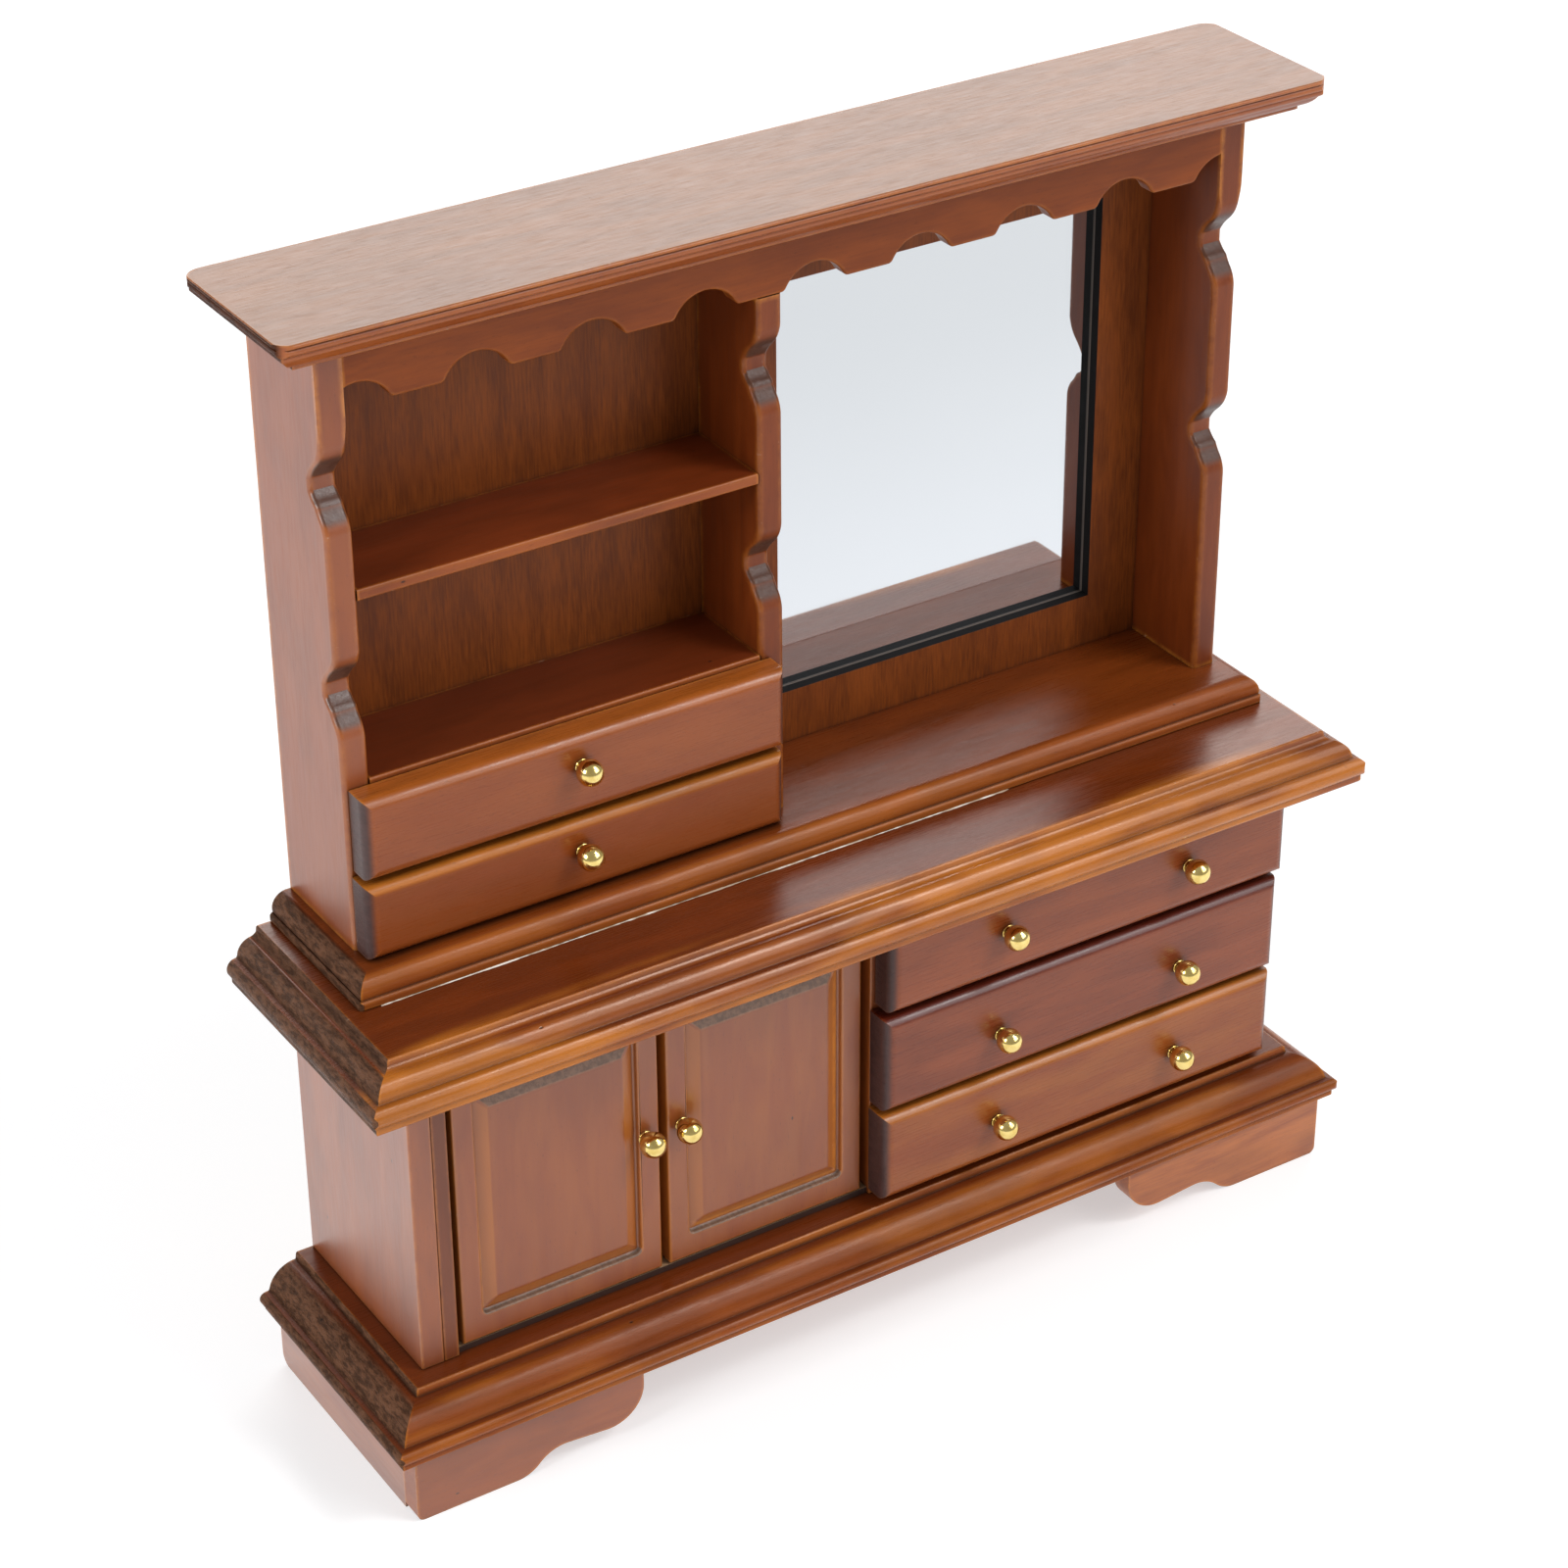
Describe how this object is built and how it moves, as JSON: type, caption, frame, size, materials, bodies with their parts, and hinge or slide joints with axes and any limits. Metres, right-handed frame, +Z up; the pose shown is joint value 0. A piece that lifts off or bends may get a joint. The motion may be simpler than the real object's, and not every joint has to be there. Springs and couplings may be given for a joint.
{
  "type": "dolls house dressing table",
  "caption": "Miniature wooden dressing table with a doored and drawered base, a moulded top, and a hutch with open shelves, small drawers, a mirror and a scalloped apron.",
  "frame": {"origin": "floor level, at the middle of the footprint", "axes": "+X to the right seen from the front, -Y towards the front, +Z up"},
  "size_m": [0.16, 0.0418, 0.167],
  "materials": {
    "stained_wood": "satin red-brown stain, worn at the edges",
    "inner_wood": "bare, lightly sanded",
    "hardboard": "matt hardboard",
    "brass": "polished",
    "mirror": "silvered glass"
  },
  "bodies": {
    "case": {"apron": "stained_wood", "base_board": "stained_wood", "bay_shelf": "stained_wood", "case_back": "inner_wood", "case_divider": "stained_wood", "cornice": "stained_wood", "cupboard_floor": "inner_wood", "drawer_bay_floor": "inner_wood", "drawer_case_top": "stained_wood", "front_left_foot": "stained_wood", "front_right_foot": "stained_wood", "hutch_back_panel": "stained_wood", "hutch_dust_board": "inner_wood", "left_side": "stained_wood", "left_skirt": "stained_wood", "left_stile": "stained_wood", "left_upright": "stained_wood", "lower_dust_board": "inner_wood", "middle_upright": "stained_wood", "mirror_backing": "hardboard", "mirror_glass": "mirror", "right_side": "stained_wood", "right_skirt": "stained_wood", "right_upright": "stained_wood", "riser_board": "stained_wood", "upper_dust_board": "inner_wood", "worktop": "stained_wood"},
    "left_door": {"left_door": "stained_wood", "left_door_pins": "brass", "left_door_knob": "brass"},
    "right_door": {"right_door": "stained_wood", "right_door_pins": "brass", "right_door_knob": "brass"},
    "low_drawer": {"low_drawer_front": "stained_wood", "low_drawer_sides": "inner_wood", "low_drawer_back": "inner_wood", "low_drawer_floor": "inner_wood", "low_drawer_knobs": "brass"},
    "middle_drawer": {"middle_drawer_front": "stained_wood", "middle_drawer_sides": "inner_wood", "middle_drawer_back": "inner_wood", "middle_drawer_floor": "inner_wood", "middle_drawer_knobs": "brass"},
    "top_drawer": {"top_drawer_front": "stained_wood", "top_drawer_sides": "inner_wood", "top_drawer_back": "inner_wood", "top_drawer_floor": "inner_wood", "top_drawer_knobs": "brass"},
    "hutch_low_drawer": {"hutch_low_drawer_front": "stained_wood", "hutch_low_drawer_sides": "inner_wood", "hutch_low_drawer_back": "inner_wood", "hutch_low_drawer_floor": "inner_wood", "hutch_low_drawer_knobs": "brass"},
    "hutch_top_drawer": {"hutch_top_drawer_front": "stained_wood", "hutch_top_drawer_sides": "inner_wood", "hutch_top_drawer_back": "inner_wood", "hutch_top_drawer_floor": "inner_wood", "hutch_top_drawer_knobs": "brass"}
  },
  "joints": [
    {"name": "left_door_hinge", "type": "hinge", "parent": "case", "child": "left_door", "pos_m": [-0.0634, -0.01, 0.0419], "axis": [0, 0, -1], "range_deg": [0, 90]},
    {"name": "right_door_hinge", "type": "hinge", "parent": "case", "child": "right_door", "pos_m": [-0.0015, -0.01, 0.0419], "axis": [0, 0, 1], "range_deg": [0, 90]},
    {"name": "low_drawer_slide", "type": "slide", "parent": "case", "child": "low_drawer", "axis": [0, -1, 0], "range_m": [0, 0.018]},
    {"name": "middle_drawer_slide", "type": "slide", "parent": "case", "child": "middle_drawer", "axis": [0, -1, 0], "range_m": [0, 0.018]},
    {"name": "top_drawer_slide", "type": "slide", "parent": "case", "child": "top_drawer", "axis": [0, -1, 0], "range_m": [0, 0.018]},
    {"name": "hutch_low_drawer_slide", "type": "slide", "parent": "case", "child": "hutch_low_drawer", "axis": [0, -1, 0], "range_m": [0, 0.009]},
    {"name": "hutch_top_drawer_slide", "type": "slide", "parent": "case", "child": "hutch_top_drawer", "axis": [0, -1, 0], "range_m": [0, 0.009]}
  ]
}
